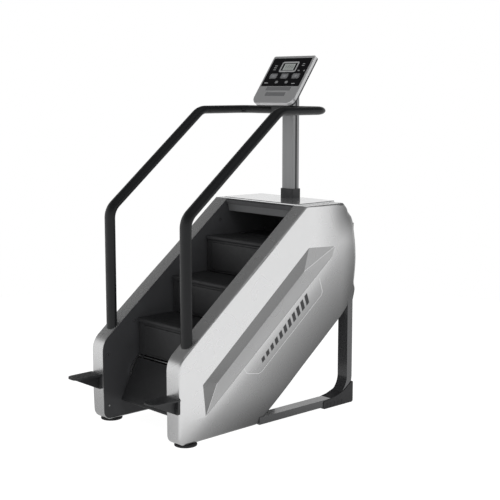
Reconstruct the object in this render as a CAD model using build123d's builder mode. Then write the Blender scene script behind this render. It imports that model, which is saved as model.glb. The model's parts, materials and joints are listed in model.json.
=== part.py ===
from build123d import *
import os
from math import atan2, cos, degrees, hypot, pi, radians, sin

# Stair climber. Millimetres, +Z up, the user faces +Y, +X is the user's right.
# The origin is on the floor, under the middle of the machine.

# Driving dimensions of the whole machine
SHELL_OUT = 382.0  # half width over the side shells
SHELL_IN = 280.0  # half width of the stair well between the shell rims
SKIN = 3.0  # shell wall
FRONT_Y = -598.0
SOLE_Z = 14.0  # underside of the shells above the floor
FRONT_CORNER_Z = 450.0
TOP_Z = 1182.0
TOP_FRONT_Y = 313.0
TOP_BACK_Y = 618.0
BACK_Y = 769.0
BACK_TOP = (704.0, 1100.0)
BACK_FOOT = (736.0, 606.0)
BELLY_REAR = (590.0, 503.0)
BELLY_FRONT_Y = -30.0
CORNER_RADII = {
    (FRONT_Y, SOLE_Z): 46,
    (FRONT_Y, FRONT_CORNER_Z): 110,
    (BELLY_FRONT_Y, SOLE_Z): 60,
    BELLY_REAR: 200,
    BACK_FOOT: 26,
    BACK_TOP: 60,
    (TOP_BACK_Y, TOP_Z): 8,
}

# Stair belt: eight steps on a chain that runs round two pairs of sprockets
RUN = 250.0
RISE = 208.0
STEP_COUNT = 8
SPROCKET_R = 112.0
LOWEST_PIN = (-355.0, 342.0)
PIN_TO_TANGENT = 20.0
STEP_HALF = 262.0
PANEL_HALF = 226.0
STEP_FACE = 12.0  # tread and riser faces stand this far outside the pin line
AXLE_R = 6.0
RUNNING = 0.05
CHAIN_IN = 265.0
CHAIN_W = 10.0
CHAIN_H = 12.0
SHAFT_R = 15.0
SHAFT_HALF = 291.0
BEARING_T = 7.5
TRACK_END = 125.0
AXLE_HALF = 264.7
TREAD_START = 13.0
TREAD_SKIN = 7.0
NOSE_LIP = 4.0
RIB_PITCH = 9.0
RIB_COUNT = 23
EAR_R = 11.0
EAR_X = 222.0
EAR_W = 20.0
RISER_OUT = 6.0
RISER_BACK = 8.0
RISER_GAP = 13.5  # below the tread above
PIN_GAP = 14.0
OPEN_GAP = 44.0  # where the belt turns and a tread and riser are free of each other
MOTOR_R = 60.0
MOTOR_SHAFT_R = 9.0
PINION_R = 20.0
DRIVEN_R = 60.0
DRIVE_X = 120.0

# Covers
COVER_HALF = 306.0
COVER_T = 8.0
LIP_HALF = 279.7
LIP_LOW_Z = 1150.0
SHELF_HALF = 278.0
SHELF_LOW_Z = 1108.0
SHEET_HALF = 280.5
SHEET_T = 2.0

# Side panels, frame, legs and feet
PANEL_T = 3.0
SCREW_R = 2.5
PANEL_SCREWS = [(-560, 90), (-560, 380), (-380, 545), (-40, 818), (260, 1060), (650, 1080)]
CROSS_W = 30.0
CROSS_AT = (120.0, 520.0, 900.0)  # distances up the slope
CROSS_DEPTH = 428.0  # below the stair side of the belt
POST_BEAM_W = 40.0
POST_BEAM_Z = 1090.0
PANEL_IN = 281.0
FRAME_IN = 292.0
FRAME_W = 50.0
FRAME_INSET = 40.0
FRAME_SOLE_Z = SOLE_Z + FRAME_INSET
FRAME_UPRIGHT_T = 8.0
FRAME_H = 40.0
FRAME_WALL = 4.0
LEG_OUT = 362.0
LEG_W = 74.0
LEG_T = 41.0
LEG_BACK_Y = 716.0
LEG_SOLE_Z = 12.0
LEG_FRONT_Y = -24.0
LEG_TOP_Z = 1060.0
LEG_WALL = 3.0
CAP_T = 4.0
CAP_H = 124.0
CAP_FRONT_Y = 476.0
LEG_BEND_R = 110.0
FOOT_X = 325.0
FOOT_Y = -513.0
FOOT_R = 60.0
FOOT_STEM_R = 10.0
ENTRY_IN = 284.0
ENTRY_OUT = 392.0
ENTRY_TIP_Y = -770.0
ENTRY_Z = 274.0
ENTRY_T = 12.0
ENTRY_LOW_Z = 190.0
INLET_X = -180.0
INLET_Y = 730.0
INLET_DEEP = 40.0
INLET_Z = 700.0
INLET_W = 58.0
INLET_H = 46.0
SOCKET_W = 28.0
SOCKET_H = 20.0

# Handrail, post and console
RAIL_X = 324.5
RAIL_STUB_Z = 470.0
RAIL_FOOT_Y = -502.0
RAIL_KNEE_Z = 1170.0
RAIL_TOP = (151.0, 1702.0)
RAIL_CROSS_Y = 492.0
RAIL_W = 77.0
RAIL_T = 46.0
RAIL_WALL = 2.5
RAIL_R = 100.0
RAIL_CORNER_R = 60.0
RAIL_GAP = 2.0
CLAMP_H = 54.0
CLAMP_Y = RAIL_CROSS_Y - 44.0
GROOVE_W = 13.0
GROOVE_DEEP = 6.0
COLLAR_H = 54.0
BRACKET_HALF = 42.0
POST_W = 89.0
POST_D = 53.0
POST_Y = 535.0
POST_MID_Y = POST_Y + POST_D / 2
POST_WALL = 3.0
POST_FOOT_Z = POST_BEAM_Z + POST_BEAM_W / 2
POST_TOP_Z = 1790.0
CONSOLE_Y = 406.0
CONSOLE_Z = 1750.0
CONSOLE_TILT = 35.5
CONSOLE_HALF = 168.0
CONSOLE_LOW = -12.0
CONSOLE_HIGH = 320.0
CONSOLE_T = 34.0
FRONT_T = 20.0
FACE_T = 6.0
OVERLAY_HALF = 155.0
OVERLAY_LOW = 106.0
OVERLAY_HIGH = 303.0
OVERLAY_T = 1.2
LCD_UP = 241.0
LCD_W = 86.0
LCD_H = 44.0
KEY_PROUD = 1.0
KEYS = {  # x, distance up the face, width, height
    "key_left": (-91.0, 177.0, 50.0, 26.0),
    "key_middle": (0.0, 177.0, 50.0, 26.0),
    "key_right": (91.0, 177.0, 50.0, 26.0),
    "key_start": (-40.0, 134.0, 24.0, 18.0),
    "key_stop": (40.0, 134.0, 24.0, 18.0),
}
TRAY_STEPS = [(0.0, 90.0, 202.0, 28.0), (-4.0, 57.0, 164.0, 38.0)]

os.makedirs("parts", exist_ok=True)


def save(part, name):
    part.label = name
    export_step(part, f"parts/{name}.step")


def save_pair(part, name):
    """The part on the +X side, and its mirror image on the -X side."""
    save(part, f"{name}_right")
    save(mirror(part, about=Plane.YZ), f"{name}_left")


def side_plane(x):
    """A drawing plane at x: its own x runs along +Y and its own y along +Z."""
    return Plane(origin=(x, 0, 0), x_dir=(0, 1, 0), z_dir=(1, 0, 0))


# Stair belt geometry: positions are (y, z)
SLOPE = atan2(RISE, RUN)
UP = (cos(SLOPE), sin(SLOPE))
PITCH = hypot(RUN, RISE)
STRAIGHT = (STEP_COUNT * PITCH - 2 * pi * SPROCKET_R) / 2
OUTWARD = (-UP[1], UP[0])


def along(start, direction, distance):
    return (start[0] + direction[0] * distance, start[1] + direction[1] * distance)


LOWER_TANGENT = along(LOWEST_PIN, UP, -PIN_TO_TANGENT)
LOWER_SHAFT = along(LOWER_TANGENT, OUTWARD, -SPROCKET_R)
UPPER_SHAFT = along(LOWER_SHAFT, UP, STRAIGHT)


def belt_point(travel):
    """The point of the chain's pitch line this far up from the lower tangent."""
    travel = travel % (2 * STRAIGHT + 2 * pi * SPROCKET_R)
    half_turn = pi * SPROCKET_R
    if travel < STRAIGHT:
        return along(LOWER_TANGENT, UP, travel)
    if travel < STRAIGHT + half_turn:
        turn, centre, first = (travel - STRAIGHT) / SPROCKET_R, UPPER_SHAFT, 1
    elif travel < 2 * STRAIGHT + half_turn:
        start = along(UPPER_SHAFT, OUTWARD, -SPROCKET_R)
        return along(start, UP, -(travel - STRAIGHT - half_turn))
    else:
        turn, centre, first = (travel - 2 * STRAIGHT - half_turn) / SPROCKET_R, LOWER_SHAFT, -1
    out = along(centre, OUTWARD, first * SPROCKET_R * cos(turn))
    return along(out, UP, first * SPROCKET_R * sin(turn))


def nose_point(pin, next_pin):
    """Where a tread from pin and a riser from next_pin meet, outside the belt."""
    span = hypot(next_pin[0] - pin[0], next_pin[1] - pin[1])
    way = ((next_pin[0] - pin[0]) / span, (next_pin[1] - pin[1]) / span)
    foot = (RUN**2 - RISE**2 + span**2) / (2 * span)
    height = (RUN**2 - foot**2) ** 0.5
    return along(along(pin, way, foot), (way[1], -way[0]), height)


PINS = [belt_point(PIN_TO_TANGENT + number * PITCH) for number in range(STEP_COUNT)]
NOSES = [nose_point(PINS[number], PINS[number - 1]) for number in range(STEP_COUNT)]
CROSS_POINTS = [along(along(LOWEST_PIN, UP, up), OUTWARD, -CROSS_DEPTH) for up in CROSS_AT]
FRAME_UPRIGHTS = (LOWER_SHAFT[0], 212.0, UPPER_SHAFT[0])


def step_plane(start, end):
    """Local x runs from start to end across the step, local y points out of the belt."""
    way = (0, end[0] - start[0], end[1] - start[1])
    return Plane(origin=(0, *start), x_dir=way, z_dir=(-1, 0, 0))


# Side shells


def shell_outline(inset):
    """The side view of a shell, drawn in by an inset."""
    with BuildSketch() as view:
        with BuildLine():
            edge = Polyline(
                BACK_FOOT, BELLY_REAR, (BELLY_FRONT_Y, SOLE_Z), (FRONT_Y, SOLE_Z),
                (FRONT_Y, FRONT_CORNER_Z), (TOP_FRONT_Y, TOP_Z), (TOP_BACK_Y, TOP_Z), BACK_TOP,
            )
            ThreePointArc(edge @ 1, (BACK_Y, 850), edge @ 0)
        make_face()
        for (y, z), radius in CORNER_RADII.items():
            fillet(view.vertices().sort_by_distance((y, z, 0))[0], radius)
        if inset:
            offset(amount=-inset, mode=Mode.REPLACE)
    return view.sketch


def plan_outline(inset):
    """The plan view of the right-hand shell, its outer corners rounded."""
    back_radius, front_radius = 50 - inset, 16 - inset
    with BuildSketch() as plan:
        with BuildLine():
            Polyline(
                (0, FRONT_Y + inset), (SHELL_OUT - inset, FRONT_Y + inset),
                (SHELL_OUT - inset, BACK_Y + 1 - inset), (0, BACK_Y + 1 - inset), close=True,
            )
        make_face()
        outer = plan.vertices().group_by(Axis.X)[-1].sort_by(Axis.Y)
        fillet(outer[0], front_radius)
        fillet(plan.vertices().group_by(Axis.X)[-1].sort_by(Axis.Y)[-1], back_radius)
    return plan.sketch


def shell_body(inset, inner_x):
    """The filled shape of a shell, drawn in by an inset, from inner_x outwards."""
    with BuildPart() as body:
        with BuildSketch(side_plane(inner_x)):
            add(shell_outline(inset))
        extrude(amount=SHELL_OUT - inset - inner_x)
        with BuildSketch(Plane.XY):
            add(plan_outline(inset))
        extrude(amount=TOP_Z + 10, mode=Mode.INTERSECT)
    return body.part


def make_shell():
    """A thin casing: outer skin and rim, open towards the stairs and along the belly."""
    with BuildPart() as shell:
        add(shell_body(0, SHELL_IN))
        add(shell_body(SKIN, SHELL_IN - 1), mode=Mode.SUBTRACT)
        with BuildSketch(side_plane(SHELL_IN - 1)):
            with BuildLine():
                Polyline(
                    (-540, 0), (-540, 26), (-34, 26), (BELLY_REAR[0] - 8, BELLY_REAR[1] + 14),
                    (722, 618), (760, 590), BELLY_REAR, (0, 0), close=True,
                )
            make_face()
        extrude(amount=SHELL_OUT - 14 - SHELL_IN, mode=Mode.SUBTRACT)
        with BuildSketch(Plane.XY.offset(RAIL_STUB_Z)):
            with Locations((RAIL_X, RAIL_FOOT_Y)):
                Ellipse(RAIL_W / 2 + 1, RAIL_T / 2 + 1)
        extrude(amount=160, mode=Mode.SUBTRACT)
    return shell.part


def make_inner_panel():
    """Flat steel panel that closes a shell towards the stairs."""
    with BuildPart() as panel:
        with BuildSketch(side_plane(PANEL_IN)):
            add(shell_outline(SKIN + 1))
            with Locations(LOWER_SHAFT, UPPER_SHAFT):
                Circle(SHAFT_R + 8, mode=Mode.SUBTRACT)
            with Locations(*CROSS_POINTS):
                Rectangle(CROSS_W + 2, CROSS_W + 2, rotation=degrees(SLOPE), mode=Mode.SUBTRACT)
            with Locations((POST_MID_Y, POST_BEAM_Z)):
                Rectangle(POST_BEAM_W + 2, POST_BEAM_W + 2, mode=Mode.SUBTRACT)
            with Locations(*PANEL_SCREWS):
                Circle(SCREW_R + 0.2, mode=Mode.SUBTRACT)
        extrude(amount=PANEL_T)
    return panel.part


# Covers between the shells


def make_top_cover():
    """Plate that bridges the shells behind the stairs, with a slot for the post."""
    depth = TOP_BACK_Y - TOP_FRONT_Y
    with BuildPart() as cover:
        with BuildSketch(Plane.XY.offset(TOP_Z)):
            with Locations((0, TOP_FRONT_Y + depth / 2)):
                RectangleRounded(2 * COVER_HALF, depth, 10)
            with Locations((0, POST_Y + POST_D / 2)):
                Rectangle(POST_W + 1, POST_D + 1, mode=Mode.SUBTRACT)
        extrude(amount=COVER_T)
        top_edges = cover.edges().group_by(Axis.Z)[-1]
        chamfer(top_edges.filter_by(lambda edge: edge.length > 150), 3)
    return cover.part


def make_top_lip():
    """Moulded nose under the front edge of the top cover."""
    with BuildPart() as lip:
        with BuildSketch(side_plane(-LIP_HALF)):
            with BuildLine():
                Polyline(
                    (TOP_FRONT_Y + 30, TOP_Z - 0.2), (TOP_FRONT_Y + 4, TOP_Z - 0.2),
                    (TOP_FRONT_Y - 10, TOP_Z - 8), (TOP_FRONT_Y - 8, LIP_LOW_Z),
                    (TOP_FRONT_Y + 30, LIP_LOW_Z), close=True,
                )
            make_face()
        extrude(amount=2 * LIP_HALF)
    return lip.part


def make_well_shelf():
    """Folded sheet under the lip that closes the top of the stair well."""
    with BuildPart() as shelf:
        with BuildSketch(side_plane(-SHELF_HALF)):
            with BuildLine():
                Polyline(
                    (TOP_FRONT_Y + 4, LIP_LOW_Z - 0.2), (TOP_FRONT_Y + 16, SHELF_LOW_Z),
                    (POST_Y - 8, SHELF_LOW_Z), (POST_Y - 8, SHELF_LOW_Z + 3),
                    (TOP_FRONT_Y + 19, SHELF_LOW_Z + 3), (TOP_FRONT_Y + 9, LIP_LOW_Z - 0.2),
                    close=True,
                )
            make_face()
        extrude(amount=2 * SHELF_HALF)
    return shelf.part


def ring(outer_inset, inner_inset):
    """A band of constant width that follows the shell outline."""
    with BuildSketch() as band:
        add(shell_outline(outer_inset))
        add(shell_outline(inner_inset), mode=Mode.SUBTRACT)
    return band.sketch


def region(*points):
    with BuildSketch() as area:
        with BuildLine():
            Polyline(*points, close=True)
        make_face()
    return area.sketch


def make_rear_cover():
    """Sheet that follows the shells' back edges from the top plate to the belly."""
    with BuildPart() as cover:
        with BuildSketch(side_plane(-SHEET_HALF)):
            add(ring(SKIN + 1, SKIN + 1 + SHEET_T))
            add(region((610, 1300), (610, 700), (700, 612), (900, 612), (900, 1300)),
                mode=Mode.INTERSECT)
        extrude(amount=2 * SHEET_HALF)
        with BuildSketch(Plane.XZ.offset(-700)):
            with Locations((INLET_X, INLET_Z)):
                Rectangle(INLET_W + 1, INLET_H + 1)
        extrude(amount=-100, mode=Mode.SUBTRACT)
    return cover.part


def make_belly_cover():
    """Sheet under the returning steps."""
    with BuildPart() as cover:
        with BuildSketch(side_plane(-SHEET_HALF)):
            add(ring(12, 12 + SHEET_T))
            add(region((-10, 0), (900, 0), (900, 600), (690, 600), (590, 560), (-10, 100)),
                mode=Mode.INTERSECT)
        extrude(amount=2 * SHEET_HALF)
    return cover.part


def make_power_inlet():
    """Mains inlet block in the rear cover, with its socket recess."""
    with BuildPart() as inlet:
        with BuildSketch(Plane.XZ.offset(-INLET_Y)):
            with Locations((INLET_X, INLET_Z)):
                Rectangle(INLET_W, INLET_H)
        extrude(amount=-INLET_DEEP)
        with BuildSketch(Plane.XZ.offset(-INLET_Y - INLET_DEEP)):
            with Locations((INLET_X, INLET_Z)):
                RectangleRounded(SOCKET_W, SOCKET_H, 4)
        extrude(amount=18, mode=Mode.SUBTRACT)
    return inlet.part


# Frame inside the shells


def make_side_frame():
    """Welded channel frame: a ring inside the shell with three uprights."""
    back = LEG_BACK_Y - LEG_T - 3
    clip = region((-700, 0), (back, 0), (back, 1300), (-700, 1300))
    with BuildPart() as frame:
        with BuildSketch(side_plane(FRAME_IN)):
            add(ring(FRAME_INSET, FRAME_INSET + FRAME_H))
            add(clip, mode=Mode.INTERSECT)
        extrude(amount=FRAME_W)
        with BuildSketch(side_plane(FRAME_IN)):
            add(ring(FRAME_INSET + FRAME_WALL, FRAME_INSET + FRAME_H - FRAME_WALL))
            add(clip, mode=Mode.INTERSECT)
        extrude(amount=FRAME_W - FRAME_WALL, mode=Mode.SUBTRACT)
        with BuildSketch(side_plane(FRAME_IN)):
            for y in FRAME_UPRIGHTS:
                with Locations((y, 650)):
                    Rectangle(FRAME_H, 1300)
            add(shell_outline(FRAME_INSET + 1), mode=Mode.INTERSECT)
        extrude(amount=FRAME_UPRIGHT_T)
        with BuildSketch(Plane.XY.offset(RAIL_STUB_Z)):
            with Locations((RAIL_X, RAIL_FOOT_Y)):
                Ellipse(RAIL_W / 2 + 0.3, RAIL_T / 2 + 0.3)
        extrude(amount=100, mode=Mode.SUBTRACT)
    return frame.part


def make_cross_tubes():
    """Square tubes that hold the two side frames apart."""
    with BuildPart() as tubes:
        with BuildSketch(side_plane(-FRAME_IN)):
            with Locations(*CROSS_POINTS):
                Rectangle(CROSS_W, CROSS_W, rotation=degrees(SLOPE))
                Rectangle(CROSS_W - 6, CROSS_W - 6, rotation=degrees(SLOPE), mode=Mode.SUBTRACT)
            with Locations((POST_MID_Y, POST_BEAM_Z)):
                Rectangle(POST_BEAM_W, POST_BEAM_W)
                Rectangle(POST_BEAM_W - 6, POST_BEAM_W - 6, mode=Mode.SUBTRACT)
        extrude(amount=2 * FRAME_IN)
    return tubes.part


def leg_profile(grow):
    """Side view of the bent leg tube, grown all round."""
    inner_y, inner_z = LEG_BACK_Y - LEG_T, LEG_SOLE_Z + LEG_T
    with BuildSketch() as view:
        with BuildLine():
            FilletPolyline(
                (LEG_FRONT_Y, LEG_SOLE_Z), (LEG_BACK_Y, LEG_SOLE_Z), (LEG_BACK_Y, LEG_TOP_Z),
                radius=LEG_BEND_R + LEG_T,
            )
            FilletPolyline(
                (LEG_FRONT_Y, inner_z), (inner_y, inner_z), (inner_y, LEG_TOP_Z), radius=LEG_BEND_R,
            )
            Line((LEG_FRONT_Y, LEG_SOLE_Z), (LEG_FRONT_Y, inner_z))
            Line((LEG_BACK_Y, LEG_TOP_Z), (inner_y, LEG_TOP_Z))
        make_face()
        if grow:
            offset(amount=grow, mode=Mode.REPLACE)
    return view.sketch


def make_rear_leg():
    """Rectangular tube that runs back along the floor and bends up into the shell."""
    with BuildPart() as leg:
        with BuildSketch(side_plane(LEG_OUT - LEG_W)):
            add(leg_profile(0))
        extrude(amount=LEG_W)
        with BuildSketch(side_plane(LEG_OUT - LEG_W + LEG_WALL)):
            add(leg_profile(-LEG_WALL))
            with Locations((LEG_FRONT_Y, LEG_SOLE_Z + LEG_T / 2)):
                Rectangle(60, LEG_T - 2 * LEG_WALL)
        extrude(amount=LEG_W - 2 * LEG_WALL, mode=Mode.SUBTRACT)
    return leg.part


def make_foot_cap():
    """Rubber corner shoe on the bend of a leg."""
    cap_back = LEG_BACK_Y + 8
    with BuildPart() as cap:
        with BuildSketch(side_plane(LEG_OUT - LEG_W - CAP_T)) as view:
            with BuildLine():
                edge = Polyline((cap_back - 12, CAP_H), (cap_back, CAP_H), (cap_back, 0),
                                (CAP_FRONT_Y, 0), (CAP_FRONT_Y, 46), (CAP_FRONT_Y + 30, 48))
                ThreePointArc(edge @ 1, (cap_back - 96, 74), edge @ 0)
            make_face()
            fillet(view.vertices().group_by(Axis.X)[-1].sort_by(Axis.Y)[0], 12)
        extrude(amount=LEG_W + 2 * CAP_T)
        with BuildSketch(side_plane(LEG_OUT - LEG_W - 0.2)):
            add(leg_profile(0.2))
        extrude(amount=LEG_W + 0.4, mode=Mode.SUBTRACT)
    return cap.part


def make_front_foot():
    """Round rubber pad on a threaded stem under the front of a shell."""
    with BuildPart() as foot:
        with BuildSketch(Plane.XY):
            with Locations((FOOT_X, FOOT_Y)):
                Circle(FOOT_R)
        extrude(amount=SOLE_Z - 1)
        chamfer(foot.edges(), 2)
        with BuildSketch(Plane.XY.offset(SOLE_Z - 1)):
            with Locations((FOOT_X, FOOT_Y)):
                Circle(FOOT_STEM_R)
        extrude(amount=FRAME_SOLE_Z - SOLE_Z + 1)
    return foot.part


def make_entry_step():
    """Pedal-shaped foot rest bolted to the front of a shell, on a tapered web."""
    with BuildPart() as step:
        with BuildSketch(Plane.XY.offset(ENTRY_Z - ENTRY_T)) as plate:
            with BuildLine():
                Polyline((ENTRY_IN, FRONT_Y), (ENTRY_OUT, FRONT_Y), (ENTRY_OUT - 4, ENTRY_TIP_Y),
                         (ENTRY_IN + 4, ENTRY_TIP_Y), close=True)
            make_face()
            fillet(plate.vertices().group_by(Axis.Y)[0], 40)
        extrude(amount=ENTRY_T)
        with BuildSketch(Plane.XZ.offset(-FRONT_Y)):
            with Locations(((ENTRY_IN + ENTRY_OUT) / 2, (ENTRY_LOW_Z + ENTRY_Z - ENTRY_T) / 2)):
                Rectangle(ENTRY_OUT - ENTRY_IN - 8, ENTRY_Z - ENTRY_T - ENTRY_LOW_Z)
        extrude(amount=14)
        with BuildSketch(side_plane(ENTRY_IN + 26)):
            with BuildLine():
                Polyline((FRONT_Y - 10, ENTRY_LOW_Z), (FRONT_Y - 14, ENTRY_LOW_Z),
                         (ENTRY_TIP_Y + 24, ENTRY_Z - ENTRY_T - 6),
                         (ENTRY_TIP_Y + 20, ENTRY_Z - ENTRY_T + 1),
                         (FRONT_Y - 10, ENTRY_Z - ENTRY_T + 1), close=True)
            make_face()
        extrude(amount=ENTRY_OUT - ENTRY_IN - 52)
    return step.part


# Handrail, post and console


def make_handrail():
    """Half of the looped oval handrail: up from the shell, up the slope, across to the post."""
    with BuildPart() as rail:
        with BuildLine() as route:
            FilletPolyline(
                (RAIL_X, RAIL_FOOT_Y, RAIL_STUB_Z), (RAIL_X, RAIL_FOOT_Y, RAIL_KNEE_Z),
                (RAIL_X, *RAIL_TOP), (RAIL_X, RAIL_CROSS_Y, RAIL_TOP[1]),
                (RAIL_GAP / 2, RAIL_CROSS_Y, RAIL_TOP[1]), radius=(RAIL_R, RAIL_R, RAIL_CORNER_R),
            )
        with BuildSketch(Plane.XY.offset(RAIL_STUB_Z)):
            with Locations((RAIL_X, RAIL_FOOT_Y)):
                Ellipse(RAIL_W / 2, RAIL_T / 2)
                Ellipse(RAIL_W / 2 - RAIL_WALL, RAIL_T / 2 - RAIL_WALL, mode=Mode.SUBTRACT)
        sweep(path=route.wires()[0])
    return rail.part


def make_rail_clamp():
    """Block on the front of the post that holds the two halves of the handrail."""
    with BuildPart() as clamp:
        with BuildSketch(side_plane(-POST_W / 2)):
            with BuildLine():
                Polyline((CLAMP_Y, RAIL_TOP[1] - CLAMP_H / 2), (POST_Y, RAIL_TOP[1] - CLAMP_H / 2),
                         (POST_Y, RAIL_TOP[1] + CLAMP_H / 2), (CLAMP_Y, RAIL_TOP[1] + CLAMP_H / 2),
                         close=True)
            make_face()
            with Locations((RAIL_CROSS_Y, RAIL_TOP[1])):
                Ellipse(RAIL_W / 2 + 0.3, RAIL_T / 2 + 0.3, mode=Mode.SUBTRACT)
        extrude(amount=POST_W)
    return clamp.part


def make_post():
    """Extruded upright with a dark groove down each side."""
    with BuildPart() as post:
        with BuildSketch(Plane.XY.offset(POST_FOOT_Z)):
            with Locations((0, POST_MID_Y)):
                RectangleRounded(POST_W, POST_D, 4)
                Rectangle(POST_W - 2 * (POST_WALL + GROOVE_DEEP), POST_D - 2 * POST_WALL,
                          mode=Mode.SUBTRACT)
                with Locations((-POST_W / 2, 0), (POST_W / 2, 0)):
                    Rectangle(2 * GROOVE_DEEP, GROOVE_W, mode=Mode.SUBTRACT)
        extrude(amount=POST_TOP_Z - POST_FOOT_Z)
    return post.part


def make_post_collar():
    """Moulded collar where the post meets the top cover."""
    with BuildPart() as collar:
        with BuildSketch(Plane.XY.offset(TOP_Z + COVER_T)):
            with Locations((0, POST_MID_Y)):
                RectangleRounded(POST_W + 14, POST_D + 14, 8)
                Rectangle(POST_W + 0.6, POST_D + 0.6, mode=Mode.SUBTRACT)
        extrude(amount=COLLAR_H)
    return collar.part


TILT = radians(CONSOLE_TILT)
CONSOLE_PLANE = Plane(
    origin=(0, CONSOLE_Y, CONSOLE_Z), x_dir=(1, 0, 0), z_dir=(0, -cos(TILT), sin(TILT))
)


def console_point(up, behind):
    """(y, z) of a point on the console: up its face and behind it."""
    return (CONSOLE_Y + sin(TILT) * up + cos(TILT) * behind,
            CONSOLE_Z + cos(TILT) * up - sin(TILT) * behind)


def console_outline(inset):
    with BuildSketch() as view:
        with Locations((0, (CONSOLE_LOW + CONSOLE_HIGH) / 2)):
            Rectangle(2 * CONSOLE_HALF, CONSOLE_HIGH - CONSOLE_LOW)
        fillet(view.vertices().group_by(Axis.Y)[0], 46)
        fillet(view.vertices().group_by(Axis.Y)[-1], 12)
        if inset:
            offset(amount=-inset, mode=Mode.REPLACE)
    return view.sketch


def key_shape(width, height, grow):
    with BuildSketch() as shape:
        RectangleRounded(width + 2 * grow, height + 2 * grow, height / 2 - 1 if width < 30 else 5)
    return shape.sketch


def make_console_front():
    """Front half of the console, with a pocket for the overlay and a stepped tray below it."""
    with BuildPart() as front:
        with BuildSketch(CONSOLE_PLANE.offset(-FRONT_T)):
            add(console_outline(0))
        extrude(amount=FRONT_T)
        chamfer(front.faces().sort_by(Axis((0, 0, 0), CONSOLE_PLANE.z_dir))[-1].edges(), 3)
        with BuildSketch(CONSOLE_PLANE.offset(-FRONT_T)):
            add(console_outline(3))
        extrude(amount=FRONT_T - FACE_T, mode=Mode.SUBTRACT)
        with BuildSketch(CONSOLE_PLANE):
            with Locations((0, (OVERLAY_LOW + OVERLAY_HIGH) / 2)):
                Rectangle(2 * OVERLAY_HALF, OVERLAY_HIGH - OVERLAY_LOW)
        extrude(amount=-OVERLAY_T, mode=Mode.SUBTRACT)
        for (x, up, width, height), deep in zip(TRAY_STEPS, (2.0, 3.4)):
            with BuildSketch(CONSOLE_PLANE):
                with Locations((x, up)):
                    Rectangle(width, height)
            extrude(amount=-deep, mode=Mode.SUBTRACT)
        with BuildSketch(CONSOLE_PLANE):
            with Locations((0, LCD_UP)):
                Rectangle(LCD_W + 0.6, LCD_H + 0.6)
            for x, up, width, height in KEYS.values():
                with Locations((x, up)):
                    add(key_shape(width, height, 0.5))
        extrude(amount=-FACE_T, mode=Mode.SUBTRACT)
    return front.part


def make_console_back():
    """Back half of the console."""
    with BuildPart() as back:
        with BuildSketch(CONSOLE_PLANE.offset(-CONSOLE_T)):
            add(console_outline(0))
        extrude(amount=CONSOLE_T - FRONT_T - 0.2)
        chamfer(back.faces().sort_by(Axis((0, 0, 0), CONSOLE_PLANE.z_dir))[0].edges(), 6)
        with BuildSketch(CONSOLE_PLANE.offset(-CONSOLE_T + 3)):
            add(console_outline(8))
        extrude(amount=CONSOLE_T, mode=Mode.SUBTRACT)
    return back.part


def make_overlay():
    """Printed overlay with openings for the display and the keys."""
    with BuildPart() as overlay:
        with BuildSketch(CONSOLE_PLANE.offset(-OVERLAY_T)):
            with Locations((0, (OVERLAY_LOW + OVERLAY_HIGH) / 2)):
                Rectangle(2 * OVERLAY_HALF - 0.4, OVERLAY_HIGH - OVERLAY_LOW - 0.4)
            with Locations((0, LCD_UP)):
                Rectangle(LCD_W + 0.6, LCD_H + 0.6, mode=Mode.SUBTRACT)
            for x, up, width, height in KEYS.values():
                with Locations((x, up)):
                    add(key_shape(width, height, 0.5), mode=Mode.SUBTRACT)
        extrude(amount=OVERLAY_T - 0.2)
    return overlay.part


def make_display_lens():
    with BuildPart() as lens:
        with BuildSketch(CONSOLE_PLANE.offset(-FACE_T - 3)):
            with Locations((0, LCD_UP)):
                Rectangle(LCD_W, LCD_H)
        extrude(amount=FACE_T + 2.5)
    return lens.part


def make_key(x, up, width, height):
    """Key cap with a flange behind the console face that stops it coming out."""
    with BuildPart() as key:
        with BuildSketch(CONSOLE_PLANE.offset(-FACE_T - 0.3)):
            with Locations((x, up)):
                add(key_shape(width, height, 0))
        extrude(amount=FACE_T + 0.3 + KEY_PROUD)
        with BuildSketch(CONSOLE_PLANE.offset(-FACE_T - 0.3)):
            with Locations((x, up)):
                add(key_shape(width, height, 2))
        extrude(amount=-2)
    return key.part


def make_console_bracket():
    """Wedge that ties the top of the post to the back of the console."""
    floor_z = RAIL_TOP[1] + CLAMP_H / 2 + 0.3
    with BuildPart() as bracket:
        with BuildSketch(side_plane(-BRACKET_HALF)):
            with BuildLine():
                Polyline(
                    (450, floor_z), (POST_Y - 0.3, floor_z), (POST_Y - 0.3, POST_TOP_Z + 0.3),
                    (POST_Y + POST_D - 8, POST_TOP_Z + 0.3), (POST_Y + POST_D - 8, POST_TOP_Z + 60),
                    console_point(185, CONSOLE_T + 0.2), console_point(25, CONSOLE_T + 0.2), close=True,
                )
            make_face()
        extrude(amount=2 * BRACKET_HALF)
    return bracket.part


# Steps and drive


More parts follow.
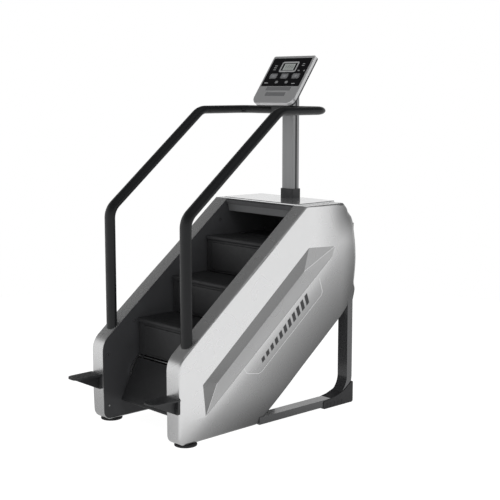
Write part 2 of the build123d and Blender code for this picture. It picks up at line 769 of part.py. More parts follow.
def make_tread(pin, nose):
    """Ribbed tread from its pin to its rounded nose, hollow below, with two hinge ears."""
    plane = step_plane(pin, nose)
    with BuildPart() as tread:
        with BuildSketch(plane) as side:
            with Locations((TREAD_START, 0)):
                Rectangle(RUN + STEP_FACE + NOSE_LIP - TREAD_START, 2 * STEP_FACE,
                          align=(Align.MIN, Align.CENTER))
            fillet(side.vertices().group_by(Axis.X)[-1], 9)
            with GridLocations(RIB_PITCH, 1, RIB_COUNT, 1):
                with Locations((RUN / 2, STEP_FACE)):
                    Rectangle(RIB_PITCH / 3, 3, mode=Mode.SUBTRACT)
        extrude(amount=STEP_HALF, both=True)
        with BuildSketch(plane):
            with Locations((RUN / 2 + 6, -STEP_FACE)):
                Rectangle(RUN - 40, 2 * (2 * STEP_FACE - TREAD_SKIN))
        extrude(amount=STEP_HALF - 8, both=True, mode=Mode.SUBTRACT)
        for x in (-EAR_X - EAR_W, EAR_X):
            with BuildSketch(plane.offset(x)):
                Circle(EAR_R)
                Rectangle(TREAD_START + 1, STEP_FACE, align=(Align.MIN, Align.CENTER))
            extrude(amount=EAR_W)
        with BuildSketch(plane):
            Circle(AXLE_R + RUNNING)
        extrude(amount=STEP_HALF, both=True, mode=Mode.SUBTRACT)
    return tread.part


def make_riser(nose, pin, top_gap=RISER_GAP):
    """Riser between a nose and the next pin, with a raised rounded panel on its face."""
    plane = step_plane(nose, pin)
    out = plane.y_dir
    face = Plane(origin=plane.origin + out * RISER_OUT, x_dir=(1, 0, 0), z_dir=out)
    with BuildPart() as riser:
        with BuildSketch(plane):
            with Locations(((top_gap + RISE - PIN_GAP) / 2, (RISER_OUT - RISER_BACK) / 2)):
                Rectangle(RISE - PIN_GAP - top_gap, RISER_OUT + RISER_BACK)
        extrude(amount=STEP_HALF, both=True)
        with BuildSketch(face):
            with Locations((0, -(top_gap + RISE - PIN_GAP) / 2)):
                RectangleRounded(2 * PANEL_HALF, RISE - PIN_GAP - top_gap - 16, 24)
        extrude(amount=STEP_FACE - RISER_OUT)
    return riser.part


def make_axles(numbers):
    """The hinge axles at the numbered pins."""
    with BuildPart() as axles:
        with BuildSketch(side_plane(-AXLE_HALF)):
            with Locations(*[PINS[number] for number in numbers]):
                Circle(AXLE_R)
        extrude(amount=2 * AXLE_HALF)
    return axles.part


def make_chains():
    """The two endless step chains, as smooth bands of the chain's size."""
    middle = along(LOWER_SHAFT, UP, STRAIGHT / 2)
    with BuildPart() as chains:
        for x in (-CHAIN_IN - CHAIN_W, CHAIN_IN):
            with BuildSketch(side_plane(x)):
                with Locations(middle):
                    SlotCenterToCenter(STRAIGHT, 2 * SPROCKET_R + CHAIN_H, rotation=degrees(SLOPE))
                    SlotCenterToCenter(STRAIGHT, 2 * SPROCKET_R - CHAIN_H, rotation=degrees(SLOPE),
                                       mode=Mode.SUBTRACT)
            extrude(amount=CHAIN_W)
    return chains.part


def make_guide_tracks():
    """Rails that carry the loaded run of the chains."""
    middle = along(along(LOWER_SHAFT, UP, STRAIGHT / 2), OUTWARD, SPROCKET_R - CHAIN_H / 2 - 5.3)
    with BuildPart() as tracks:
        for x in (-PANEL_IN + 0.2, CHAIN_IN):
            with BuildSketch(side_plane(x)):
                with Locations(middle):
                    Rectangle(STRAIGHT - 2 * TRACK_END, 10, rotation=degrees(SLOPE))
            extrude(amount=PANEL_IN - 0.2 - CHAIN_IN)
    return tracks.part


def draw_sprocket(centre, radius):
    """A sprocket blank with a shaft bore and six lightening holes."""
    with BuildSketch() as blank:
        Circle(radius)
        Circle(SHAFT_R, mode=Mode.SUBTRACT)
        with PolarLocations((radius + SHAFT_R) / 2, 6):
            Circle((radius - SHAFT_R) / 5, mode=Mode.SUBTRACT)
    return blank.sketch.moved(Location((*centre, 0)))


def make_sprockets(centre, drive_radius=None):
    """The pair of step chain sprockets on one shaft, and the driven sprocket if it has one."""
    with BuildPart() as sprockets:
        for x in (-CHAIN_IN - CHAIN_W + 1, CHAIN_IN + 1):
            with BuildSketch(side_plane(x)):
                add(draw_sprocket(centre, SPROCKET_R - CHAIN_H / 2 - 0.5))
            extrude(amount=CHAIN_W - 2)
        if drive_radius:
            with BuildSketch(side_plane(DRIVE_X)):
                add(draw_sprocket(centre, drive_radius))
            extrude(amount=8)
    return sprockets.part


def make_shaft(centre):
    with BuildPart() as shaft:
        with BuildSketch(side_plane(-SHAFT_HALF)):
            with Locations(centre):
                Circle(SHAFT_R)
        extrude(amount=2 * SHAFT_HALF)
    return shaft.part


def make_bearings():
    """Four square flanged bearings on the frame uprights."""
    with BuildPart() as bearings:
        for x in (-FRAME_IN, FRAME_IN - BEARING_T):
            with BuildSketch(side_plane(x)):
                with Locations(LOWER_SHAFT, UPPER_SHAFT):
                    RectangleRounded(76, 76, 12)
                    Circle(SHAFT_R + RUNNING, mode=Mode.SUBTRACT)
            extrude(amount=BEARING_T)
    return bearings.part


MOTOR_AT = along(LOWER_SHAFT, UP, STRAIGHT * 0.7)


def make_motor():
    """Geared motor on a plate that spans the stair well between the belt's two runs."""
    plate_at = along(MOTOR_AT, OUTWARD, -MOTOR_R - 4)
    with BuildPart() as motor:
        with BuildSketch(side_plane(-100)):
            with Locations(MOTOR_AT):
                Circle(MOTOR_R)
        extrude(amount=200)
        with BuildSketch(side_plane(-PANEL_IN + 0.2)):
            with Locations(plate_at):
                Rectangle(150, 10, rotation=degrees(SLOPE))
        extrude(amount=2 * PANEL_IN - 0.4)
        with BuildSketch(side_plane(60)):
            with Locations(MOTOR_AT):
                Circle(MOTOR_SHAFT_R + RUNNING)
        extrude(amount=60, mode=Mode.SUBTRACT)
    return motor.part


def make_motor_sprocket():
    with BuildPart() as pinion:
        with BuildSketch(side_plane(62)):
            with Locations(MOTOR_AT):
                Circle(MOTOR_SHAFT_R)
        extrude(amount=DRIVE_X + 12 - 62)
        with BuildSketch(side_plane(DRIVE_X)):
            with Locations(MOTOR_AT):
                Circle(PINION_R)
        extrude(amount=8)
    return pinion.part


def make_drive_chain():
    """Chain from the motor's sprocket to the drive shaft, as a smooth band."""
    with BuildPart() as chain:
        with BuildSketch(side_plane(DRIVE_X)):
            add(belt_loop(PINION_R + 6.5, DRIVEN_R + 6.5))
            add(belt_loop(PINION_R + 0.5, DRIVEN_R + 0.5), mode=Mode.SUBTRACT)
        extrude(amount=8)
    return chain.part


def belt_loop(small, large):
    """The filled outline of a belt round the motor's sprocket and the driven one."""
    with BuildSketch() as loop:
        with Locations(MOTOR_AT):
            Circle(small)
        with Locations(UPPER_SHAFT):
            Circle(large)
        make_hull()
    return loop.sketch


def make_panel_screws():
    """Button-head screws that hold the inner panels."""
    with BuildPart() as screws:
        for side in (-1, 1):
            with BuildSketch(side_plane(side * PANEL_IN)):
                with Locations(*PANEL_SCREWS):
                    Circle(2 * SCREW_R)
            extrude(amount=-side * 2.4)
            with BuildSketch(side_plane(side * PANEL_IN)):
                with Locations(*PANEL_SCREWS):
                    Circle(SCREW_R)
            extrude(amount=side * 9)
    return screws.part


save_pair(make_shell(), "shell")
save_pair(make_inner_panel(), "inner_panel")
save(make_top_cover(), "top_cover")
save(make_top_lip(), "top_lip")
save(make_well_shelf(), "well_shelf")
save(make_rear_cover(), "rear_cover")
save(make_belly_cover(), "belly_cover")
save(make_power_inlet(), "power_inlet")
save_pair(make_side_frame(), "side_frame")
save(make_cross_tubes(), "cross_tubes")
save_pair(make_rear_leg(), "rear_leg")
save_pair(make_foot_cap(), "foot_cap")
save_pair(make_front_foot(), "front_foot")
save_pair(make_entry_step(), "entry_step")
save_pair(make_handrail(), "handrail")
save(make_rail_clamp(), "rail_clamp")
save(make_post(), "post")
save(make_post_collar(), "post_collar")
save(make_console_bracket(), "console_bracket")
save(make_console_front(), "console_front")
save(make_console_back(), "console_back")
save(make_overlay(), "console_overlay")
save(make_display_lens(), "display_lens")
for key_name, place in KEYS.items():
    save(make_key(*place), key_name)

LOWEST, THIRD, SECOND, FIRST, TOP, RETURN_1, RETURN_2, RETURN_3 = range(STEP_COUNT)
for place, number in enumerate((FIRST, SECOND, THIRD, LOWEST), 1):
    save(make_tread(PINS[number], NOSES[number]), f"tread_{place}")
for place, number in enumerate((FIRST, SECOND, THIRD), 1):
    save(make_riser(NOSES[number], PINS[number - 1]), f"riser_{place}")
save(make_riser(NOSES[LOWEST], PINS[RETURN_3], OPEN_GAP), "bottom_riser")
save(make_riser(NOSES[TOP], PINS[FIRST], OPEN_GAP), "top_riser")
save(make_tread(PINS[TOP], NOSES[TOP]), "top_tread")
returning = (RETURN_1, RETURN_2, RETURN_3)
save(Compound(children=[make_tread(PINS[n], NOSES[n]) for n in returning]), "return_treads")
save(Compound(children=[make_riser(NOSES[n], PINS[n - 1]) for n in returning]), "return_risers")
save(make_axles((LOWEST, THIRD, SECOND, FIRST)), "step_axles")
save(make_axles((TOP, *returning)), "return_axles")
save(make_chains(), "step_chains")
save(make_guide_tracks(), "guide_tracks")
save(make_shaft(UPPER_SHAFT), "drive_shaft")
save(make_sprockets(UPPER_SHAFT, DRIVEN_R), "drive_sprockets")
save(make_shaft(LOWER_SHAFT) + make_sprockets(LOWER_SHAFT), "idler_shaft")
save(make_bearings(), "shaft_bearings")
save(make_motor(), "motor")
save(make_motor_sprocket(), "motor_sprocket")
save(make_drive_chain(), "drive_chain")
save(make_panel_screws(), "panel_screws")
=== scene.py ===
import json
from math import atan2, cos, hypot, pi, radians, sin, sqrt

import bmesh
import bpy
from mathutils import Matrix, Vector
from mathutils.geometry import delaunay_2d_cdt


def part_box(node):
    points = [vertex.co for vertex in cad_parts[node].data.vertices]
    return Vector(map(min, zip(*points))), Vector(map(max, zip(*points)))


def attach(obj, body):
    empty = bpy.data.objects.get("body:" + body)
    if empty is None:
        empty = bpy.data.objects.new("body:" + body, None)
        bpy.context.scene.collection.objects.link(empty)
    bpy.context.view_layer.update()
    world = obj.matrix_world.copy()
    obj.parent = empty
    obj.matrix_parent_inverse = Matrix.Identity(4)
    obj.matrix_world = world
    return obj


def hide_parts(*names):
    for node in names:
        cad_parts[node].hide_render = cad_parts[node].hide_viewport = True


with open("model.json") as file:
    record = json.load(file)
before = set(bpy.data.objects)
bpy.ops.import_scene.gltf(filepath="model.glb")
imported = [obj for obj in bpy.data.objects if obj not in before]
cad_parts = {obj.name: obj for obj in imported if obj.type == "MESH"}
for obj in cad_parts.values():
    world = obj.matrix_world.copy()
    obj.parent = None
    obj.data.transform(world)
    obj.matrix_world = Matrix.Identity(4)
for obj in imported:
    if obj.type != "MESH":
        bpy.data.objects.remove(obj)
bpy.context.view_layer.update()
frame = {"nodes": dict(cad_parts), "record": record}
nodes = frame["nodes"]

# Sizes in metres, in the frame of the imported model: x across, y along, z up.
SHELL_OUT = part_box("shell_right")[1].x
SHELL_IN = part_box("shell_right")[0].x
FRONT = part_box("shell_right")[0].y
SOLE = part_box("shell_right")[0].z
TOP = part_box("shell_right")[1].z


# ---------------------------------------------------------------- materials

def new_material(name):
    material = bpy.data.materials.new(name)
    material.use_nodes = True
    tree = material.node_tree
    return material, tree, tree.nodes["Principled BSDF"]


def add_node(tree, kind, **values):
    node = tree.nodes.new(kind)
    for key, value in values.items():
        if key in node.inputs:
            node.inputs[key].default_value = value
        else:
            setattr(node, key, value)
    return node


def object_position(tree, scale=(1, 1, 1)):
    position = add_node(tree, "ShaderNodeTexCoord")
    mapping = add_node(tree, "ShaderNodeMapping", Scale=scale)
    tree.links.new(position.outputs["Object"], mapping.inputs["Vector"])
    return mapping.outputs["Vector"]


def noise(tree, vector, scale, detail=3.0, rough=0.55):
    texture = add_node(tree, "ShaderNodeTexNoise", Scale=scale, Detail=detail, Roughness=rough)
    tree.links.new(vector, texture.inputs["Vector"])
    return texture.outputs["Fac"]


def spread(tree, value, low, high):
    """The noise value, around a half, stretched to run from low to high."""
    ramp = add_node(tree, "ShaderNodeMapRange")
    ramp.inputs["From Min"].default_value = 0.3
    ramp.inputs["From Max"].default_value = 0.7
    ramp.inputs["To Min"].default_value = low
    ramp.inputs["To Max"].default_value = high
    tree.links.new(value, ramp.inputs["Value"])
    return ramp.outputs["Result"]


def blend_colours(tree, factor, first, second):
    mix = add_node(tree, "ShaderNodeMix", data_type="RGBA")
    mix.inputs[6].default_value = (*first, 1)
    mix.inputs[7].default_value = (*second, 1)
    tree.links.new(factor, mix.inputs[0])
    return mix.outputs[2]


def bump(tree, shader, height, strength, distance):
    node = add_node(tree, "ShaderNodeBump", Strength=strength, Distance=distance)
    tree.links.new(height, node.inputs["Height"])
    tree.links.new(node.outputs["Normal"], shader.inputs["Normal"])


def surface(name, colour, rough, metal=0.0, vary=0.12, grain=900.0, grain_height=0.000006,
            stretch=(1, 1, 1), coat=0.0, coat_rough=0.1, rough_vary=0.06, specular=0.5):
    """A painted, moulded or metal surface: patchy colour and gloss over a fine grain."""
    material, tree, shader = new_material(name)
    vector = object_position(tree, stretch)
    patches = spread(tree, noise(tree, vector, 6.0), 0.0, 1.0)
    dark = tuple(max(0.0, c * (1 - vary)) for c in colour)
    light = tuple(min(1.0, c * (1 + vary)) for c in colour)
    tree.links.new(blend_colours(tree, patches, dark, light), shader.inputs["Base Color"])
    gloss = spread(tree, noise(tree, vector, 45.0), rough - rough_vary, rough + rough_vary)
    tree.links.new(gloss, shader.inputs["Roughness"])
    shader.inputs["Metallic"].default_value = metal
    shader.inputs["Coat Weight"].default_value = coat
    shader.inputs["Coat Roughness"].default_value = coat_rough
    shader.inputs["Specular IOR Level"].default_value = specular
    bump(tree, shader, noise(tree, vector, grain, 2.0), 0.5, grain_height)
    return material


def silver_paint(name, colour, rough, metal):
    """Slightly patchy metallic paint; a float attribute on the mesh, where it has one, darkens it to black
    as painted shade.
    """
    material, tree, shader = new_material(name)
    vector = object_position(tree)
    patches = spread(tree, noise(tree, vector, 25.0, 2.0), 0.0, 1.0)
    bright = blend_colours(tree, patches, tuple(c * 0.985 for c in colour), colour)
    # Painted shade: the mesh's shade attribute mixes the silver towards black.
    painted_shade = add_node(tree, "ShaderNodeAttribute", attribute_name="painted_shade")
    mix = add_node(tree, "ShaderNodeMix", data_type="RGBA")
    mix.inputs[7].default_value = (0, 0, 0, 1)
    tree.links.new(bright, mix.inputs[6])
    tree.links.new(painted_shade.outputs["Fac"], mix.inputs[0])
    tree.links.new(mix.outputs[2], shader.inputs["Base Color"])
    gloss = spread(tree, noise(tree, vector, 9.0, 1.0), rough - 0.01, rough + 0.01)
    tree.links.new(gloss, shader.inputs["Roughness"])
    shader.inputs["Metallic"].default_value = metal
    shader.inputs["Coat Weight"].default_value = 0.25
    shader.inputs["Coat Roughness"].default_value = 0.25
    bump(tree, shader, noise(tree, vector, 14.0, 0.0), 0.05, 0.0001)
    return material


SILVER = silver_paint("silver_paint", (0.86, 0.862, 0.866), 0.27, 0.85)
COVER = surface("cover_paint", (0.86, 0.865, 0.87), 0.15, metal=0.9, vary=0.03, grain=20, rough_vary=0.02)
PANEL = surface("panel_paint", (0.062, 0.063, 0.067), 0.46, vary=0.10, grain=500)
STEP = surface("step_plastic", (0.022, 0.0225, 0.024), 0.52, vary=0.2, grain=1400, grain_height=0.000015)
RAIL = surface("rail_coating", (0.010, 0.0107, 0.0117), 0.40, specular=0.3, vary=0.1,
               grain=1500, grain_height=0.000015)
POST = surface("post_metal", (0.27, 0.273, 0.277), 0.34, metal=0.85, vary=0.05, stretch=(1, 1, 0.03),
               grain=1500)
TRIM = surface("trim_plastic", (0.03, 0.031, 0.033), 0.48, vary=0.15, grain=1300, grain_height=0.000015)
LIP = surface("lip_plastic", (0.05, 0.051, 0.054), 0.5, vary=0.1, grain=1100)
SHELF = surface("shelf_paint", (0.2, 0.203, 0.208), 0.5, metal=0.2, vary=0.06)
SHEET = surface("sheet_paint", (0.045, 0.046, 0.049), 0.5, vary=0.1, grain=600)
CONSOLE = silver_paint("console_paint", (0.62, 0.622, 0.63), 0.34, 0.6)
OVERLAY = surface("overlay_film", (0.006, 0.006, 0.007), 0.4, vary=0.1, grain=200, specular=0.12)
LENS = surface("display_glass", (0.50, 0.53, 0.51), 0.16, vary=0.04, coat=0.6, coat_rough=0.05)
KEY = surface("key_rubber", (0.2, 0.203, 0.21), 0.55, vary=0.1, grain=1500, grain_height=0.000015)
FRAME = surface("frame_paint", (0.03, 0.03, 0.032), 0.42, vary=0.1)
LEG = surface("leg_paint", (0.085, 0.086, 0.089), 0.28, metal=0.6, vary=0.04, coat=0.9, coat_rough=0.12,
              rough_vary=0.02)
RUBBER = surface("foot_rubber", (0.022, 0.022, 0.024), 0.62, vary=0.2, grain=800, grain_height=0.00004)
STEEL = surface("shaft_steel", (0.5, 0.5, 0.5), 0.3, metal=1.0, vary=0.08, stretch=(0.1, 1, 1))
IRON = surface("bearing_iron", (0.09, 0.09, 0.095), 0.6, metal=0.3, vary=0.15, grain=400,
               grain_height=0.00005)
MOTOR = surface("motor_paint", (0.07, 0.07, 0.075), 0.45, vary=0.1)
PRINT = surface("overlay_print", (0.42, 0.425, 0.43), 0.4, vary=0.05, grain=1800)
MARK = surface("decal_ink", (0.03, 0.03, 0.032), 0.35, vary=0.1, grain=1500)

FINISH = {
    "shell_silver": SILVER, "cover_silver": COVER, "panel_grey": PANEL, "step_black": STEP,
    "rail_black": RAIL, "post_metal": POST, "trim_black": TRIM, "lip_grey": LIP,
    "shelf_grey": SHELF, "sheet_dark": SHEET, "console_silver": CONSOLE, "overlay_black": OVERLAY,
    "lens_grey": LENS, "key_grey": KEY, "frame_steel": FRAME, "leg_silver": LEG,
    "foot_rubber": RUBBER, "shaft_steel": STEEL, "bearing_iron": IRON, "motor_grey": MOTOR,
}

for part in frame["record"]["subparts"]:
    node = nodes[part["node"]]
    node.data.materials.clear()
    node.data.materials.append(FINISH[part["material_slot"]])


# ---------------------------------------------------------------- mesh helpers

def finish_piece(bm, name, body, material, replaced=(), smooth_angle=32.0):
    """Turn a bmesh into a shaded piece that rides on a body."""
    bmesh.ops.remove_doubles(bm, verts=bm.verts, dist=1e-6)
    bmesh.ops.recalc_face_normals(bm, faces=bm.faces)
    mesh = bpy.data.meshes.new(name)
    for face in bm.faces:
        face.smooth = True
    limit = radians(smooth_angle)
    for edge in bm.edges:
        edge.smooth = len(edge.link_faces) == 2 and edge.calc_face_angle(0.0) < limit
    bm.to_mesh(mesh)
    bm.free()
    mesh.materials.append(material)
    piece = bpy.data.objects.new(name, mesh)
    bpy.context.scene.collection.objects.link(piece)
    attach(piece, body)
    if replaced:
        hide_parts(*replaced)
    return piece


def rounded_polygon(corners, steps=8):
    """Points round a polygon whose corners, given as (u, v, radius), are rounded by arcs."""
    points = []
    for i, (u, v, radius) in enumerate(corners):
        here = Vector((u, v))
        before = (Vector(corners[i - 1][:2]) - here).normalized()
        after = (Vector(corners[(i + 1) % len(corners)][:2]) - here).normalized()
        if radius < 1e-6:
            points.append(here)
            continue
        half = before.angle(after) / 2
        centre = here + (before + after).normalized() * (radius / sin(half))
        start = here + before * (radius / (sin(half) / cos(half)))
        end = here + after * (radius / (sin(half) / cos(half)))
        a, b = start - centre, end - centre
        total = a.angle(b)
        for k in range(steps + 1):
            t = k / steps
            points.append(centre + (a * sin((1 - t) * total) + b * sin(t * total)) / sin(total))
    return points


def bevelled(bm, width, segments=3, angle=30.0):
    """Round the sharp edges of a closed bmesh."""
    edges = [e for e in bm.edges if len(e.link_faces) == 2 and e.calc_face_angle(0.0) > radians(angle)]
    bmesh.ops.bevel(bm, geom=edges, offset=width, segments=segments, profile=0.5,
                    affect="EDGES", clamp_overlap=True)


def prism(bm, outline, place, low, high):
    """Add a closed prism: outline (u, v) points, low and high along w; place maps (u, v, w)."""
    rings = [[bm.verts.new(place(u, v, w)) for u, v in outline] for w in (low, high)]
    count = len(outline)
    for i in range(count):
        j = (i + 1) % count
        bm.faces.new((rings[0][i], rings[0][j], rings[1][j], rings[1][i]))
    bm.faces.new(rings[0][::-1])
    bm.faces.new(rings[1])


def rounded_path(corners, radii, steps=14):
    """Points along a bent path whose inner corners are arcs."""
    points = [corners[0]]
    for before, here, after, radius in zip(corners, corners[1:], corners[2:], radii):
        a, b = (before - here).normalized(), (after - here).normalized()
        half = a.angle(b) / 2
        centre = here + (a + b).normalized() * (radius / sin(half))
        start = here + a * (radius * cos(half) / sin(half)) - centre
        end = here + b * (radius * cos(half) / sin(half)) - centre
        total = start.angle(end)
        for k in range(steps + 1):
            t = k / steps
            points.append(centre + (start * sin((1 - t) * total) + end * sin(t * total)) / sin(total))
    points.append(corners[-1])
    return points


def sweep(bm, path, across, half_width, half_height, count=40):
    """An oval tube along the path; across is the start direction of its wide axis."""
    rings = []
    wide = across
    for i, point in enumerate(path):
        way = (path[min(i + 1, len(path) - 1)] - path[max(i - 1, 0)]).normalized()
        wide = (wide - way * wide.dot(way)).normalized()
        tall = way.cross(wide)
        rings.append([bm.verts.new(point + wide * (half_width * cos(2 * pi * k / count))
                                   + tall * (half_height * sin(2 * pi * k / count)))
                      for k in range(count)])
    for a, b in zip(rings, rings[1:]):
        for k in range(count):
            j = (k + 1) % count
            bm.faces.new((a[k], a[j], b[j], b[k]))
    bm.faces.new(rings[0][::-1])
    bm.faces.new(rings[-1])


def side_place(u, v, w):
    return Vector((w, u, v))


def up_place(u, v, w):
    return Vector((u, v, w))


# ---------------------------------------------------------------- side shells

BACK_FOOT = Vector((0.736, 0.606))
BACK_MIDDLE = Vector((0.769, 0.850))
BACK_TOP = Vector((0.704, 1.100))


def arc_between(a, b, c, count):
    """Points strictly between a and c on the circle through a, b and c."""
    ab, ac = b - a, c - a
    scale = 2 * ab.cross(ac)
    centre = a + Vector((ac.y * ab.length_squared - ab.y * ac.length_squared,
                         ab.x * ac.length_squared - ac.x * ab.length_squared)) / scale
    first, last = (a - centre), (c - centre)
    start, end = atan2(first.y, first.x), atan2(last.y, last.x)
    turns = [start + (end - start) * k / count for k in range(1, count)]
    return [centre + Vector((cos(t), sin(t))) * first.length for t in turns]


OUTLINE = [  # y, z, corner radius
    (FRONT, SOLE, 0.046), (-0.030, SOLE, 0.060), (0.590, 0.503, 0.200), (*BACK_FOOT, 0.026),
    *[(*p, 0.0) for p in arc_between(BACK_FOOT, BACK_MIDDLE, BACK_TOP, 14)],
    (*BACK_TOP, 0.060), (0.618, TOP, 0.012), (0.313, TOP, 0.0), (FRONT, 0.450, 0.110),
]
EDGE_ROUND = [  # y, z, radius of the edge between side and rim near that point
    (FRONT, 0.06, 0.012), (FRONT, 0.42, 0.012), (-0.40, 0.61, 0.007), (0.30, 1.17, 0.007),
    (0.50, TOP, 0.010), (0.63, 1.165, 0.022), (0.68, 1.12, 0.040), (0.76, 0.96, 0.050),
    (0.769, 0.75, 0.050), (0.74, 0.62, 0.016), (0.55, 0.47, 0.010), (0.0, 0.04, 0.010),
    (-0.3, SOLE, 0.012),
]
# Corners of the scoop pressed into the side, measured off the photograph: y, z, depth below the side
SCOOP = {
    "A": (0.330, 0.953, 0.0), "B": (0.539, 0.943, 0.0), "G": (0.516, 0.883, 0.0),
    "C": (-0.423, 0.143, 0.0), "D": (-0.442, 0.317, 0.0),
    "E": (0.315, 0.820, 0.022), "F": (-0.326, 0.301, 0.022),
}
SCOOP_FACES = ["ABE", "EBG", "EGC", "ECF", "FCD", "AEF", "AFD"]
RIDGE_DISTANCE = 0.352

# Light and shade painted into the silver by place on the panel. These greys, out of 255, were fitted to
# brightness sampled from the photograph, so they stand in for reflections that the shader should give.
# They do not follow the light or the view. PAINTED_SHADE_STRENGTH = 0 removes them; 1 is the look as handed in.
PAINTED_SHADE_STRENGTH = 1.0
FULL_GREY = 218
FRONT_RIM_GREY = 205
BACK_RIM_FADE = 100
BELLY_GREY, GREY_PER_METRE = 100, 250
REAR_FADE, CORNER_FADE, EDGE_FADE, DARKEST_GREY = 34, 110, 30, 60
SCOOP_SHADE_GREY = {"ABE": 160, "EBG": 168, "EGC": 168, "ECF": 168, "FCD": 120, "AEF": 120, "AFD": 120}
BELLY_FROM, BELLY_TO = Vector((-0.030, SOLE)), Vector((0.590, 0.503))


def edge_radius(y, z):
    """Radius of the shell's outer edge, blended between the points listed above."""
    weights = [(1 / (1e-6 + (y - py) ** 2 + (z - pz) ** 2) ** 2, r) for py, pz, r in EDGE_ROUND]
    return sum(w * r for w, r in weights) / sum(w for w, _ in weights)


def belly_distance(y, z):
    way = (BELLY_TO - BELLY_FROM).normalized()
    return (Vector((y, z)) - BELLY_FROM).dot(Vector((-way.y, way.x)))


def side_drop(y, z):
    """How far the side leans in below its flat upper band."""
    drop = 0.018 * max(0.0, 1 - max(0.0, belly_distance(y, z)) / 0.345) ** 1.25
    drop += 0.010 * max(0.0, 1 - (z - SOLE) / 0.20) ** 2
    drop += 0.014 * max(0.0, 1 - (0.769 - y) / 0.20) ** 2
    return drop


def scoop_place(y, z, slack=0.0):
    """The scoop face a point of the side lies on and its share of that face's 2nd and 3rd corners."""
    point = Vector((y, z))
    for face in SCOOP_FACES:
        a, b, c = (Vector(SCOOP[k][:2]) for k in face)
        area = (b - a).cross(c - a)
        wb = (point - a).cross(c - a) / area
        wc = (b - a).cross(point - a) / area
        if wb >= -slack and wc >= -slack and wb + wc <= 1 + slack:
            return face, wb, wc
    return None, 0.0, 0.0


def scoop_depth(y, z):
    """Depth of the pressed scoop at a point of the side."""
    face, wb, wc = scoop_place(y, z, slack=1e-6)
    if face is None:
        return 0.0
    da, db, dc = (SCOOP[k][2] for k in face)
    return da + wb * (db - da) + wc * (dc - da)


def ease(low, high, value):
    t = min(1.0, max(0.0, (value - low) / (high - low)))
    return t * t * (3 - 2 * t)


def panel_grey(y, z, face):
    """The grey that the silver is darkened to at a point of the side as painted shade: fixed per scoop
    face, else darker towards the belly edge, the back and the top back corner.
    """
    if face:
        return SCOOP_SHADE_GREY[face]
    across = belly_distance(y, z)
    lower = BELLY_GREY + GREY_PER_METRE * (min(across, 0.35) - 0.03)
    upper = FULL_GREY - REAR_FADE * ease(0.36, 0.62, y)
    front = (z - SCOOP["C"][1]) * 0.939 - (y - SCOOP["C"][0]) * 0.740
    share = 1.0 if across > RIDGE_DISTANCE and z > SCOOP["C"][1] else ease(-0.10, 0.10, front)
    grey = lower + (upper - lower) * share
    corner = max(0.0, 1 - (Vector((y, z)) - Vector((0.68, 1.15))).length / 0.20)
    grey -= CORNER_FADE * corner ** 1.3
    grey -= EDGE_FADE * ease(0.60, 0.74, y)
    return max(DARKEST_GREY, grey)


def painted_shade_amount(grey):
    """How far the paint is darkened, as painted shade, to bring the full grey down to this one."""
    def level(value):
        return (value / 255 + 0.055) / 1.055
    return PAINTED_SHADE_STRENGTH * (1 - min(1.0, (level(grey) / level(FULL_GREY)) ** 2.4))


def inside(point, polygon):
    y, z = point
    result = False
    for i in range(len(polygon)):
        (y1, z1), (y2, z2) = polygon[i - 1], polygon[i]
        if (z1 > z) != (z2 > z) and y < (y2 - y1) * (z - z1) / (z2 - z1) + y1:
            result = not result
    return result


def resample(points, pitch, closed=True):
    """A line with its long runs divided into steps of about the pitch."""
    result = []
    for i, point in enumerate(points if closed else points[:-1]):
        after = points[(i + 1) % len(points)]
        count = max(1, round((after - point).length / pitch))
        result += [point.lerp(after, k / count) for k in range(count)]
    return result


